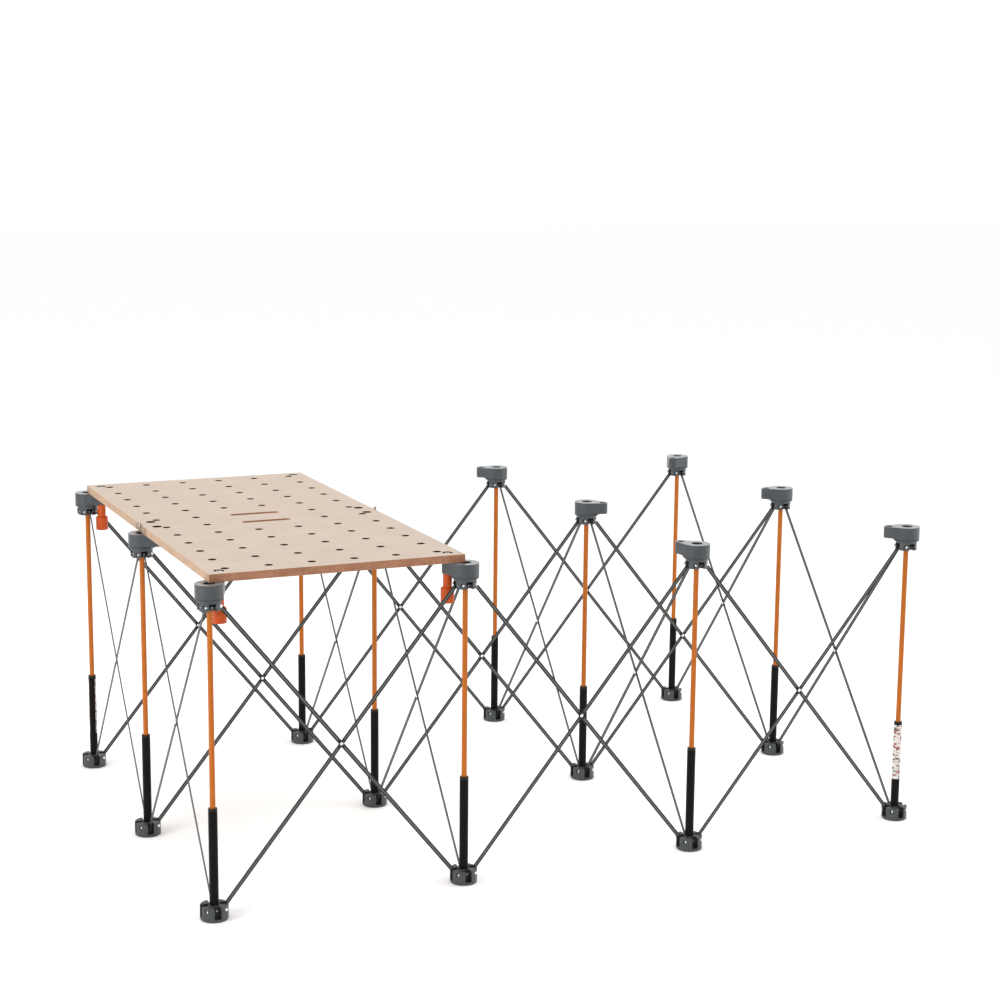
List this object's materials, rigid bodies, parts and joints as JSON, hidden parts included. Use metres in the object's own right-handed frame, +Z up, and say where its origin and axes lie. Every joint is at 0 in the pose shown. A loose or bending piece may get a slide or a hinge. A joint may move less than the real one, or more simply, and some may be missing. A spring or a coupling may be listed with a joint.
{
  "type": "work platform bench",
  "caption": "Folding work stand of telescoping posts and scissor braces under round caps, with a two-piece drilled tabletop held on by knobs.",
  "frame": {"origin": "on the floor, in the middle of the grid of posts", "axes": "+X along the length of the stand, away from the tabletop's end; +Y to the back; +Z up"},
  "size_m": [1.8934, 1.2836, 0.8008],
  "materials": {
    "foot_plastic": "satin grey moulded plastic, with a black sleeve",
    "cap_plastic": "satin grey moulded plastic, on an orange coated rod",
    "brace_steel": "dark grey coated flat bar",
    "board": "pale laminated board with a brown edge"
  },
  "bodies": {
    "foot_c1_r1": {"foot_c1_r1": "foot_plastic"},
    "foot_c2_r1": {"foot_c2_r1": "foot_plastic"},
    "foot_c3_r1": {"foot_c3_r1": "foot_plastic"},
    "foot_c4_r1": {"foot_c4_r1": "foot_plastic"},
    "foot_c1_r2": {"foot_c1_r2": "foot_plastic"},
    "foot_c2_r2": {"foot_c2_r2": "foot_plastic"},
    "foot_c3_r2": {"foot_c3_r2": "foot_plastic"},
    "foot_c4_r2": {"foot_c4_r2": "foot_plastic"},
    "foot_c1_r3": {"foot_c1_r3": "foot_plastic"},
    "foot_c2_r3": {"foot_c2_r3": "foot_plastic"},
    "foot_c3_r3": {"foot_c3_r3": "foot_plastic"},
    "foot_c4_r3": {"foot_c4_r3": "foot_plastic"},
    "head_c1_r1": {"head_c1_r1": "cap_plastic"},
    "head_c2_r1": {"head_c2_r1": "cap_plastic"},
    "head_c3_r1": {"head_c3_r1": "cap_plastic"},
    "head_c4_r1": {"head_c4_r1": "cap_plastic"},
    "head_c1_r2": {"head_c1_r2": "cap_plastic"},
    "head_c2_r2": {"head_c2_r2": "cap_plastic"},
    "head_c3_r2": {"head_c3_r2": "cap_plastic"},
    "head_c4_r2": {"head_c4_r2": "cap_plastic"},
    "head_c1_r3": {"head_c1_r3": "cap_plastic"},
    "head_c2_r3": {"head_c2_r3": "cap_plastic"},
    "head_c3_r3": {"head_c3_r3": "cap_plastic"},
    "head_c4_r3": {"head_c4_r3": "cap_plastic"},
    "brace_right_c1_r1": {"brace_right_c1_r1": "brace_steel"},
    "brace_back_c1_r1": {"brace_back_c1_r1": "brace_steel"},
    "brace_right_c2_r1": {"brace_right_c2_r1": "brace_steel"},
    "brace_back_c2_r1": {"brace_back_c2_r1": "brace_steel"},
    "brace_left_c2_r1": {"brace_left_c2_r1": "brace_steel"},
    "brace_right_c3_r1": {"brace_right_c3_r1": "brace_steel"},
    "brace_back_c3_r1": {"brace_back_c3_r1": "brace_steel"},
    "brace_left_c3_r1": {"brace_left_c3_r1": "brace_steel"},
    "brace_back_c4_r1": {"brace_back_c4_r1": "brace_steel"},
    "brace_left_c4_r1": {"brace_left_c4_r1": "brace_steel"},
    "brace_right_c1_r2": {"brace_right_c1_r2": "brace_steel"},
    "brace_back_c1_r2": {"brace_back_c1_r2": "brace_steel"},
    "brace_front_c1_r2": {"brace_front_c1_r2": "brace_steel"},
    "brace_right_c2_r2": {"brace_right_c2_r2": "brace_steel"},
    "brace_back_c2_r2": {"brace_back_c2_r2": "brace_steel"},
    "brace_left_c2_r2": {"brace_left_c2_r2": "brace_steel"},
    "brace_front_c2_r2": {"brace_front_c2_r2": "brace_steel"},
    "brace_right_c3_r2": {"brace_right_c3_r2": "brace_steel"},
    "brace_back_c3_r2": {"brace_back_c3_r2": "brace_steel"},
    "brace_left_c3_r2": {"brace_left_c3_r2": "brace_steel"},
    "brace_front_c3_r2": {"brace_front_c3_r2": "brace_steel"},
    "brace_back_c4_r2": {"brace_back_c4_r2": "brace_steel"},
    "brace_left_c4_r2": {"brace_left_c4_r2": "brace_steel"},
    "brace_front_c4_r2": {"brace_front_c4_r2": "brace_steel"},
    "brace_right_c1_r3": {"brace_right_c1_r3": "brace_steel"},
    "brace_front_c1_r3": {"brace_front_c1_r3": "brace_steel"},
    "brace_right_c2_r3": {"brace_right_c2_r3": "brace_steel"},
    "brace_left_c2_r3": {"brace_left_c2_r3": "brace_steel"},
    "brace_front_c2_r3": {"brace_front_c2_r3": "brace_steel"},
    "brace_right_c3_r3": {"brace_right_c3_r3": "brace_steel"},
    "brace_left_c3_r3": {"brace_left_c3_r3": "brace_steel"},
    "brace_front_c3_r3": {"brace_front_c3_r3": "brace_steel"},
    "brace_left_c4_r3": {"brace_left_c4_r3": "brace_steel"},
    "brace_front_c4_r3": {"brace_front_c4_r3": "brace_steel"},
    "tabletop_front": {"tabletop_front": "board"},
    "tabletop_rear": {"tabletop_rear": "board"}
  },
  "joints": [
    {"name": "fold", "type": "hinge", "parent": "foot_c2_r2", "child": "brace_right_c2_r2", "pos_m": [-0.2828, 0, 0.025], "axis": [0, -1, 0], "range_deg": [0, 34.41]},
    {"name": "cross_brace_left_c3_r2", "type": "hinge", "parent": "brace_right_c2_r2", "child": "brace_left_c3_r2", "pos_m": [0, 0, 0.375], "axis": [0, -1, 0], "range_deg": [-68.82, 0]},
    {"name": "pivot_brace_left_c3_r2", "type": "hinge", "parent": "brace_left_c3_r2", "child": "foot_c3_r2", "pos_m": [0.2828, 0, 0.025], "axis": [0, -1, 0], "range_deg": [0, 34.41]},
    {"name": "top_brace_right_c2_r2", "type": "hinge", "parent": "brace_right_c2_r2", "child": "head_c3_r2", "pos_m": [0.2828, 0, 0.725], "axis": [0, -1, 0], "range_deg": [-34.41, 0]},
    {"name": "top_brace_left_c3_r2", "type": "hinge", "parent": "brace_left_c3_r2", "child": "head_c2_r2", "pos_m": [-0.2828, 0, 0.725], "axis": [0, -1, 0], "range_deg": [0, 34.41]},
    {"name": "pivot_brace_right_c3_r2", "type": "hinge", "parent": "foot_c3_r2", "child": "brace_right_c3_r2", "pos_m": [0.3268, 0, 0.025], "axis": [0, -1, 0], "range_deg": [0, 34.41]},
    {"name": "cross_brace_left_c4_r2", "type": "hinge", "parent": "brace_right_c3_r2", "child": "brace_left_c4_r2", "pos_m": [0.6096, 0, 0.375], "axis": [0, -1, 0], "range_deg": [-68.82, 0]},
    {"name": "pivot_brace_left_c4_r2", "type": "hinge", "parent": "brace_left_c4_r2", "child": "foot_c4_r2", "pos_m": [0.8924, 0, 0.025], "axis": [0, -1, 0], "range_deg": [0, 34.41]},
    {"name": "top_brace_right_c3_r2", "type": "hinge", "parent": "brace_right_c3_r2", "child": "head_c4_r2", "pos_m": [0.8924, 0, 0.725], "axis": [0, -1, 0], "range_deg": [-34.41, 0]},
    {"name": "pivot_brace_left_c2_r2", "type": "hinge", "parent": "foot_c2_r2", "child": "brace_left_c2_r2", "pos_m": [-0.3268, 0, 0.025], "axis": [0, -1, 0], "range_deg": [-34.41, 0]},
    {"name": "cross_brace_right_c1_r2", "type": "hinge", "parent": "brace_left_c2_r2", "child": "brace_right_c1_r2", "pos_m": [-0.6096, 0, 0.375], "axis": [0, -1, 0], "range_deg": [0, 68.82]},
    {"name": "pivot_brace_right_c1_r2", "type": "hinge", "parent": "brace_right_c1_r2", "child": "foot_c1_r2", "pos_m": [-0.8924, 0, 0.025], "axis": [0, -1, 0], "range_deg": [-34.41, 0]},
    {"name": "top_brace_left_c2_r2", "type": "hinge", "parent": "brace_left_c2_r2", "child": "head_c1_r2", "pos_m": [-0.8924, 0, 0.725], "axis": [0, -1, 0], "range_deg": [0, 34.41]},
    {"name": "pivot_brace_front_c1_r2", "type": "hinge", "parent": "foot_c1_r2", "child": "brace_front_c1_r2", "pos_m": [-0.9144, -0.022, 0.025], "axis": [1, 0, 0], "range_deg": [-34.41, 0]},
    {"name": "cross_brace_back_c1_r1", "type": "hinge", "parent": "brace_front_c1_r2", "child": "brace_back_c1_r1", "pos_m": [-0.9144, -0.3048, 0.375], "axis": [1, 0, 0], "range_deg": [0, 68.82]},
    {"name": "pivot_brace_back_c1_r1", "type": "hinge", "parent": "brace_back_c1_r1", "child": "foot_c1_r1", "pos_m": [-0.9144, -0.5876, 0.025], "axis": [1, 0, 0], "range_deg": [-34.41, 0]},
    {"name": "top_brace_front_c1_r2", "type": "hinge", "parent": "brace_front_c1_r2", "child": "head_c1_r1", "pos_m": [-0.9144, -0.5876, 0.725], "axis": [1, 0, 0], "range_deg": [0, 34.41]},
    {"name": "pivot_brace_back_c1_r2", "type": "hinge", "parent": "foot_c1_r2", "child": "brace_back_c1_r2", "pos_m": [-0.9144, 0.022, 0.025], "axis": [1, 0, 0], "range_deg": [0, 34.41]},
    {"name": "cross_brace_front_c1_r3", "type": "hinge", "parent": "brace_back_c1_r2", "child": "brace_front_c1_r3", "pos_m": [-0.9144, 0.3048, 0.375], "axis": [1, 0, 0], "range_deg": [-68.82, 0]},
    {"name": "pivot_brace_front_c1_r3", "type": "hinge", "parent": "brace_front_c1_r3", "child": "foot_c1_r3", "pos_m": [-0.9144, 0.5876, 0.025], "axis": [1, 0, 0], "range_deg": [0, 34.41]},
    {"name": "top_brace_back_c1_r2", "type": "hinge", "parent": "brace_back_c1_r2", "child": "head_c1_r3", "pos_m": [-0.9144, 0.5876, 0.725], "axis": [1, 0, 0], "range_deg": [-34.41, 0]},
    {"name": "pivot_brace_front_c2_r2", "type": "hinge", "parent": "foot_c2_r2", "child": "brace_front_c2_r2", "pos_m": [-0.3048, -0.022, 0.025], "axis": [1, 0, 0], "range_deg": [-34.41, 0]},
    {"name": "cross_brace_back_c2_r1", "type": "hinge", "parent": "brace_front_c2_r2", "child": "brace_back_c2_r1", "pos_m": [-0.3048, -0.3048, 0.375], "axis": [1, 0, 0], "range_deg": [0, 68.82]},
    {"name": "pivot_brace_back_c2_r1", "type": "hinge", "parent": "brace_back_c2_r1", "child": "foot_c2_r1", "pos_m": [-0.3048, -0.5876, 0.025], "axis": [1, 0, 0], "range_deg": [-34.41, 0]},
    {"name": "top_brace_front_c2_r2", "type": "hinge", "parent": "brace_front_c2_r2", "child": "head_c2_r1", "pos_m": [-0.3048, -0.5876, 0.725], "axis": [1, 0, 0], "range_deg": [0, 34.41]},
    {"name": "pivot_brace_back_c2_r2", "type": "hinge", "parent": "foot_c2_r2", "child": "brace_back_c2_r2", "pos_m": [-0.3048, 0.022, 0.025], "axis": [1, 0, 0], "range_deg": [0, 34.41]},
    {"name": "cross_brace_front_c2_r3", "type": "hinge", "parent": "brace_back_c2_r2", "child": "brace_front_c2_r3", "pos_m": [-0.3048, 0.3048, 0.375], "axis": [1, 0, 0], "range_deg": [-68.82, 0]},
    {"name": "pivot_brace_front_c2_r3", "type": "hinge", "parent": "brace_front_c2_r3", "child": "foot_c2_r3", "pos_m": [-0.3048, 0.5876, 0.025], "axis": [1, 0, 0], "range_deg": [0, 34.41]},
    {"name": "top_brace_back_c2_r2", "type": "hinge", "parent": "brace_back_c2_r2", "child": "head_c2_r3", "pos_m": [-0.3048, 0.5876, 0.725], "axis": [1, 0, 0], "range_deg": [-34.41, 0]},
    {"name": "pivot_brace_front_c3_r2", "type": "hinge", "parent": "foot_c3_r2", "child": "brace_front_c3_r2", "pos_m": [0.3048, -0.022, 0.025], "axis": [1, 0, 0], "range_deg": [-34.41, 0]},
    {"name": "cross_brace_back_c3_r1", "type": "hinge", "parent": "brace_front_c3_r2", "child": "brace_back_c3_r1", "pos_m": [0.3048, -0.3048, 0.375], "axis": [1, 0, 0], "range_deg": [0, 68.82]},
    {"name": "pivot_brace_back_c3_r1", "type": "hinge", "parent": "brace_back_c3_r1", "child": "foot_c3_r1", "pos_m": [0.3048, -0.5876, 0.025], "axis": [1, 0, 0], "range_deg": [-34.41, 0]},
    {"name": "top_brace_front_c3_r2", "type": "hinge", "parent": "brace_front_c3_r2", "child": "head_c3_r1", "pos_m": [0.3048, -0.5876, 0.725], "axis": [1, 0, 0], "range_deg": [0, 34.41]},
    {"name": "pivot_brace_back_c3_r2", "type": "hinge", "parent": "foot_c3_r2", "child": "brace_back_c3_r2", "pos_m": [0.3048, 0.022, 0.025], "axis": [1, 0, 0], "range_deg": [0, 34.41]},
    {"name": "cross_brace_front_c3_r3", "type": "hinge", "parent": "brace_back_c3_r2", "child": "brace_front_c3_r3", "pos_m": [0.3048, 0.3048, 0.375], "axis": [1, 0, 0], "range_deg": [-68.82, 0]},
    {"name": "pivot_brace_front_c3_r3", "type": "hinge", "parent": "brace_front_c3_r3", "child": "foot_c3_r3", "pos_m": [0.3048, 0.5876, 0.025], "axis": [1, 0, 0], "range_deg": [0, 34.41]},
    {"name": "top_brace_back_c3_r2", "type": "hinge", "parent": "brace_back_c3_r2", "child": "head_c3_r3", "pos_m": [0.3048, 0.5876, 0.725], "axis": [1, 0, 0], "range_deg": [-34.41, 0]},
    {"name": "pivot_brace_front_c4_r2", "type": "hinge", "parent": "foot_c4_r2", "child": "brace_front_c4_r2", "pos_m": [0.9144, -0.022, 0.025], "axis": [1, 0, 0], "range_deg": [-34.41, 0]},
    {"name": "cross_brace_back_c4_r1", "type": "hinge", "parent": "brace_front_c4_r2", "child": "brace_back_c4_r1", "pos_m": [0.9144, -0.3048, 0.375], "axis": [1, 0, 0], "range_deg": [0, 68.82]},
    {"name": "pivot_brace_back_c4_r1", "type": "hinge", "parent": "brace_back_c4_r1", "child": "foot_c4_r1", "pos_m": [0.9144, -0.5876, 0.025], "axis": [1, 0, 0], "range_deg": [-34.41, 0]},
    {"name": "top_brace_front_c4_r2", "type": "hinge", "parent": "brace_front_c4_r2", "child": "head_c4_r1", "pos_m": [0.9144, -0.5876, 0.725], "axis": [1, 0, 0], "range_deg": [0, 34.41]},
    {"name": "pivot_brace_back_c4_r2", "type": "hinge", "parent": "foot_c4_r2", "child": "brace_back_c4_r2", "pos_m": [0.9144, 0.022, 0.025], "axis": [1, 0, 0], "range_deg": [0, 34.41]},
    {"name": "cross_brace_front_c4_r3", "type": "hinge", "parent": "brace_back_c4_r2", "child": "brace_front_c4_r3", "pos_m": [0.9144, 0.3048, 0.375], "axis": [1, 0, 0], "range_deg": [-68.82, 0]},
    {"name": "pivot_brace_front_c4_r3", "type": "hinge", "parent": "brace_front_c4_r3", "child": "foot_c4_r3", "pos_m": [0.9144, 0.5876, 0.025], "axis": [1, 0, 0], "range_deg": [0, 34.41]},
    {"name": "top_brace_back_c4_r2", "type": "hinge", "parent": "brace_back_c4_r2", "child": "head_c4_r3", "pos_m": [0.9144, 0.5876, 0.725], "axis": [1, 0, 0], "range_deg": [-34.41, 0]},
    {"name": "pivot_brace_right_c1_r1", "type": "hinge", "parent": "foot_c1_r1", "child": "brace_right_c1_r1", "pos_m": [-0.8924, -0.6096, 0.025], "axis": [0, -1, 0], "range_deg": [0, 34.41]},
    {"name": "pivot_brace_right_c2_r1", "type": "hinge", "parent": "foot_c2_r1", "child": "brace_right_c2_r1", "pos_m": [-0.2828, -0.6096, 0.025], "axis": [0, -1, 0], "range_deg": [0, 34.41]},
    {"name": "pivot_brace_left_c2_r1", "type": "hinge", "parent": "foot_c2_r1", "child": "brace_left_c2_r1", "pos_m": [-0.3268, -0.6096, 0.025], "axis": [0, -1, 0], "range_deg": [-34.41, 0]},
    {"name": "pivot_brace_right_c3_r1", "type": "hinge", "parent": "foot_c3_r1", "child": "brace_right_c3_r1", "pos_m": [0.3268, -0.6096, 0.025], "axis": [0, -1, 0], "range_deg": [0, 34.41]},
    {"name": "pivot_brace_left_c3_r1", "type": "hinge", "parent": "foot_c3_r1", "child": "brace_left_c3_r1", "pos_m": [0.2828, -0.6096, 0.025], "axis": [0, -1, 0], "range_deg": [-34.41, 0]},
    {"name": "pivot_brace_left_c4_r1", "type": "hinge", "parent": "foot_c4_r1", "child": "brace_left_c4_r1", "pos_m": [0.8924, -0.6096, 0.025], "axis": [0, -1, 0], "range_deg": [-34.41, 0]},
    {"name": "pivot_brace_right_c1_r3", "type": "hinge", "parent": "foot_c1_r3", "child": "brace_right_c1_r3", "pos_m": [-0.8924, 0.6096, 0.025], "axis": [0, -1, 0], "range_deg": [0, 34.41]},
    {"name": "pivot_brace_right_c2_r3", "type": "hinge", "parent": "foot_c2_r3", "child": "brace_right_c2_r3", "pos_m": [-0.2828, 0.6096, 0.025], "axis": [0, -1, 0], "range_deg": [0, 34.41]},
    {"name": "pivot_brace_left_c2_r3", "type": "hinge", "parent": "foot_c2_r3", "child": "brace_left_c2_r3", "pos_m": [-0.3268, 0.6096, 0.025], "axis": [0, -1, 0], "range_deg": [-34.41, 0]},
    {"name": "pivot_brace_right_c3_r3", "type": "hinge", "parent": "foot_c3_r3", "child": "brace_right_c3_r3", "pos_m": [0.3268, 0.6096, 0.025], "axis": [0, -1, 0], "range_deg": [0, 34.41]},
    {"name": "pivot_brace_left_c3_r3", "type": "hinge", "parent": "foot_c3_r3", "child": "brace_left_c3_r3", "pos_m": [0.2828, 0.6096, 0.025], "axis": [0, -1, 0], "range_deg": [-34.41, 0]},
    {"name": "pivot_brace_left_c4_r3", "type": "hinge", "parent": "foot_c4_r3", "child": "brace_left_c4_r3", "pos_m": [0.8924, 0.6096, 0.025], "axis": [0, -1, 0], "range_deg": [-34.41, 0]},
    {"name": "tabletop_lift", "type": "slide", "parent": "head_c2_r2", "child": "tabletop_front", "axis": [0, 0, 1], "range_m": [0, 0.25]},
    {"name": "tabletop_fold", "type": "hinge", "parent": "tabletop_front", "child": "tabletop_rear", "pos_m": [-0.6096, 0, 0.7948], "axis": [1, 0, 0], "range_deg": [0, 180]}
  ],
  "couplings": [
    {"joint": "cross_brace_left_c3_r2", "follows": "fold", "ratio": -2},
    {"joint": "pivot_brace_left_c3_r2", "follows": "fold", "ratio": 1},
    {"joint": "top_brace_right_c2_r2", "follows": "fold", "ratio": -1},
    {"joint": "top_brace_left_c3_r2", "follows": "fold", "ratio": 1},
    {"joint": "pivot_brace_right_c3_r2", "follows": "fold", "ratio": 1},
    {"joint": "cross_brace_left_c4_r2", "follows": "fold", "ratio": -2},
    {"joint": "pivot_brace_left_c4_r2", "follows": "fold", "ratio": 1},
    {"joint": "top_brace_right_c3_r2", "follows": "fold", "ratio": -1},
    {"joint": "pivot_brace_left_c2_r2", "follows": "fold", "ratio": -1},
    {"joint": "cross_brace_right_c1_r2", "follows": "fold", "ratio": 2},
    {"joint": "pivot_brace_right_c1_r2", "follows": "fold", "ratio": -1},
    {"joint": "top_brace_left_c2_r2", "follows": "fold", "ratio": 1},
    {"joint": "pivot_brace_front_c1_r2", "follows": "fold", "ratio": -1},
    {"joint": "cross_brace_back_c1_r1", "follows": "fold", "ratio": 2},
    {"joint": "pivot_brace_back_c1_r1", "follows": "fold", "ratio": -1},
    {"joint": "top_brace_front_c1_r2", "follows": "fold", "ratio": 1},
    {"joint": "pivot_brace_back_c1_r2", "follows": "fold", "ratio": 1},
    {"joint": "cross_brace_front_c1_r3", "follows": "fold", "ratio": -2},
    {"joint": "pivot_brace_front_c1_r3", "follows": "fold", "ratio": 1},
    {"joint": "top_brace_back_c1_r2", "follows": "fold", "ratio": -1},
    {"joint": "pivot_brace_front_c2_r2", "follows": "fold", "ratio": -1},
    {"joint": "cross_brace_back_c2_r1", "follows": "fold", "ratio": 2},
    {"joint": "pivot_brace_back_c2_r1", "follows": "fold", "ratio": -1},
    {"joint": "top_brace_front_c2_r2", "follows": "fold", "ratio": 1},
    {"joint": "pivot_brace_back_c2_r2", "follows": "fold", "ratio": 1},
    {"joint": "cross_brace_front_c2_r3", "follows": "fold", "ratio": -2},
    {"joint": "pivot_brace_front_c2_r3", "follows": "fold", "ratio": 1},
    {"joint": "top_brace_back_c2_r2", "follows": "fold", "ratio": -1},
    {"joint": "pivot_brace_front_c3_r2", "follows": "fold", "ratio": -1},
    {"joint": "cross_brace_back_c3_r1", "follows": "fold", "ratio": 2},
    {"joint": "pivot_brace_back_c3_r1", "follows": "fold", "ratio": -1},
    {"joint": "top_brace_front_c3_r2", "follows": "fold", "ratio": 1},
    {"joint": "pivot_brace_back_c3_r2", "follows": "fold", "ratio": 1},
    {"joint": "cross_brace_front_c3_r3", "follows": "fold", "ratio": -2},
    {"joint": "pivot_brace_front_c3_r3", "follows": "fold", "ratio": 1},
    {"joint": "top_brace_back_c3_r2", "follows": "fold", "ratio": -1},
    {"joint": "pivot_brace_front_c4_r2", "follows": "fold", "ratio": -1},
    {"joint": "cross_brace_back_c4_r1", "follows": "fold", "ratio": 2},
    {"joint": "pivot_brace_back_c4_r1", "follows": "fold", "ratio": -1},
    {"joint": "top_brace_front_c4_r2", "follows": "fold", "ratio": 1},
    {"joint": "pivot_brace_back_c4_r2", "follows": "fold", "ratio": 1},
    {"joint": "cross_brace_front_c4_r3", "follows": "fold", "ratio": -2},
    {"joint": "pivot_brace_front_c4_r3", "follows": "fold", "ratio": 1},
    {"joint": "top_brace_back_c4_r2", "follows": "fold", "ratio": -1},
    {"joint": "pivot_brace_right_c1_r1", "follows": "fold", "ratio": 1},
    {"joint": "pivot_brace_right_c2_r1", "follows": "fold", "ratio": 1},
    {"joint": "pivot_brace_left_c2_r1", "follows": "fold", "ratio": -1},
    {"joint": "pivot_brace_right_c3_r1", "follows": "fold", "ratio": 1},
    {"joint": "pivot_brace_left_c3_r1", "follows": "fold", "ratio": -1},
    {"joint": "pivot_brace_left_c4_r1", "follows": "fold", "ratio": -1},
    {"joint": "pivot_brace_right_c1_r3", "follows": "fold", "ratio": 1},
    {"joint": "pivot_brace_right_c2_r3", "follows": "fold", "ratio": 1},
    {"joint": "pivot_brace_left_c2_r3", "follows": "fold", "ratio": -1},
    {"joint": "pivot_brace_right_c3_r3", "follows": "fold", "ratio": 1},
    {"joint": "pivot_brace_left_c3_r3", "follows": "fold", "ratio": -1},
    {"joint": "pivot_brace_left_c4_r3", "follows": "fold", "ratio": -1}
  ]
}
